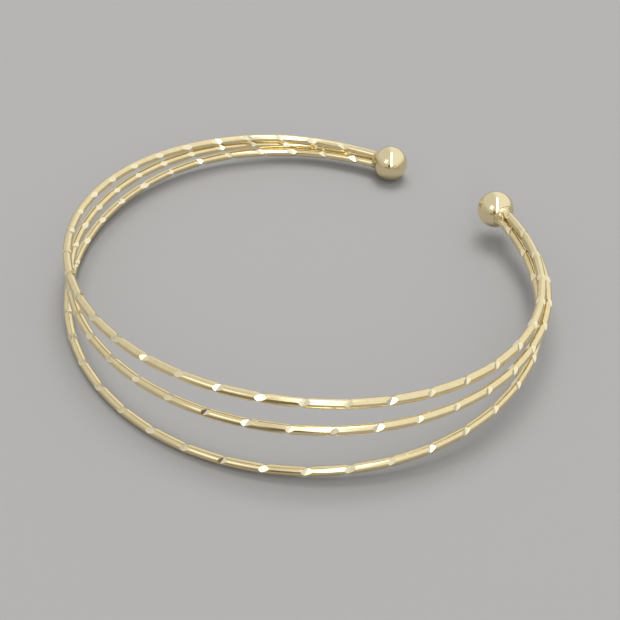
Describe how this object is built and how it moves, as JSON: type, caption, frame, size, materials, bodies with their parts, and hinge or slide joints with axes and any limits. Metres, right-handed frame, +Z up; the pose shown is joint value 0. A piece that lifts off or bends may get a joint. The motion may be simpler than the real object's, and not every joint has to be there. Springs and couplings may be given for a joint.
{
  "type": "cuff bangle bracelet",
  "caption": "Open cuff bangle of thin diamond-cut round wires that fan apart at the front, with a polished hollow ball closing the bundle on each side of the opening.",
  "frame": {"origin": "middle of the footprint, on the surface that the bangle lies on", "axes": "+Z up from that surface; +Y towards the opening between the balls; +X to the right as seen from the front, looking along +Y"},
  "size_m": [0.0646, 0.0616, 0.0101],
  "materials": {
    "wire_gold": "polished pale yellow gold, bright-cut notches",
    "ball_gold": "mirror-polished pale yellow gold",
    "brazing_gold": "satin gold solder"
  },
  "bodies": {
    "root": {"lower_wire": "wire_gold", "middle_wire": "wire_gold", "upper_wire": "wire_gold", "left_ball": "ball_gold", "right_ball": "ball_gold", "left_brazing": "brazing_gold", "right_brazing": "brazing_gold"}
  },
  "joints": []
}
